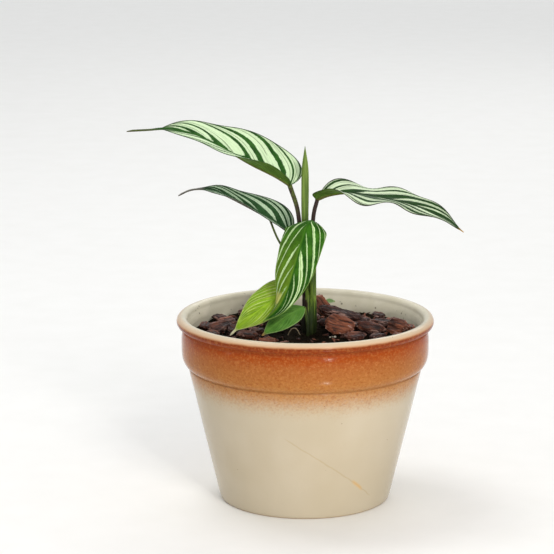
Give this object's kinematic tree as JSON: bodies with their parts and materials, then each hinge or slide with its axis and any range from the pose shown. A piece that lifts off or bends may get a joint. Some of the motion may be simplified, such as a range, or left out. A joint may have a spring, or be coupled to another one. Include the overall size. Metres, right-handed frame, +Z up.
{
  "type": "potted plant",
  "caption": "Small striped-leaf houseplant with long pointed blades on thin stems, growing from soil and bark chips in a round glazed pot with a rolled rim.",
  "frame": {"origin": "centre of the pot's flat underside", "axes": "+Z up; the tallest leaf reaches towards -X, the drooping leaf hangs towards -Y"},
  "size_m": [0.1665, 0.1298, 0.1939],
  "materials": {
    "glazed_pot": "gloss",
    "soil": "matte",
    "leaf_striped": "satin",
    "leaf_yellow": "satin",
    "leaf_plain_green": "satin",
    "stem_brown": "satin",
    "stem_green": "satin",
    "bark": "matte",
    "root": "matte"
  },
  "bodies": {
    "root": {"pot": "glazed_pot", "soil": "soil", "crown": "stem_green", "blade_upper_left": "leaf_striped", "blade_right": "leaf_striped", "blade_mid_left": "leaf_striped", "blade_front": "leaf_striped", "blade_low_yellow": "leaf_yellow", "blade_low_green": "leaf_plain_green", "seedling_leaf": "leaf_plain_green", "petiole_upper_left": "stem_brown", "petiole_mid_left": "stem_green", "petiole_right": "stem_brown", "petiole_front": "stem_green", "petiole_low_yellow": "stem_green", "petiole_low_green": "stem_green", "seedling_stem": "stem_green", "rolled_new_leaf": "leaf_yellow", "sheath_tip": "leaf_yellow", "rootlet": "root", "bark_chip_01": "bark", "bark_chip_02": "bark", "bark_chip_03": "bark", "bark_chip_04": "bark", "bark_chip_05": "bark", "bark_chip_06": "bark", "bark_chip_07": "bark", "bark_chip_08": "bark", "bark_chip_09": "bark", "bark_chip_10": "bark", "bark_chip_11": "bark", "bark_chip_12": "bark", "bark_chip_13": "bark", "bark_chip_14": "bark", "bark_chip_15": "bark", "bark_chip_16": "bark", "bark_chip_17": "bark", "bark_chip_18": "bark", "bark_chip_19": "bark", "bark_chip_20": "bark", "bark_chip_21": "bark", "bark_chip_22": "bark", "bark_chip_23": "bark", "bark_chip_24": "bark", "bark_chip_25": "bark", "bark_chip_26": "bark", "bark_chip_27": "bark", "bark_chip_28": "bark", "bark_chip_29": "bark", "bark_chip_30": "bark", "bark_chip_31": "bark", "bark_chip_32": "bark", "bark_chip_33": "bark", "bark_chip_34": "bark", "bark_chip_35": "bark"}
  },
  "joints": []
}
